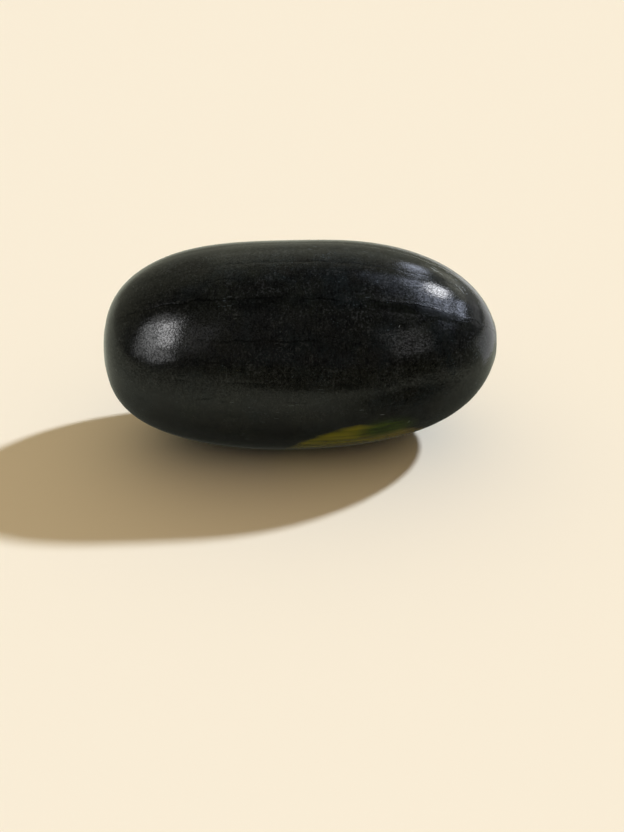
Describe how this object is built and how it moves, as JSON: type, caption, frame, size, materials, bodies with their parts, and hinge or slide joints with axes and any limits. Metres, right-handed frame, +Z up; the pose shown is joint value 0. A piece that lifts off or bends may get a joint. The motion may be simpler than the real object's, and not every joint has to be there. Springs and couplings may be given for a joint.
{
  "type": "watermelon",
  "caption": "Whole oblong black-skinned watermelon lying on its side, with shallow ribs, a dimple and a scar at each end and a yellow ground spot.",
  "frame": {"origin": "on the ground, below the middle of the fruit's box", "axes": "+X along the fruit from its blossom end to its stem end, +Z up, -Y towards the side that the picture shows"},
  "size_m": [0.354, 0.1878, 0.1908],
  "materials": {
    "rind": "waxy, between satin and gloss, near-black green"
  },
  "bodies": {
    "root": {"watermelon": "rind"}
  },
  "joints": []
}
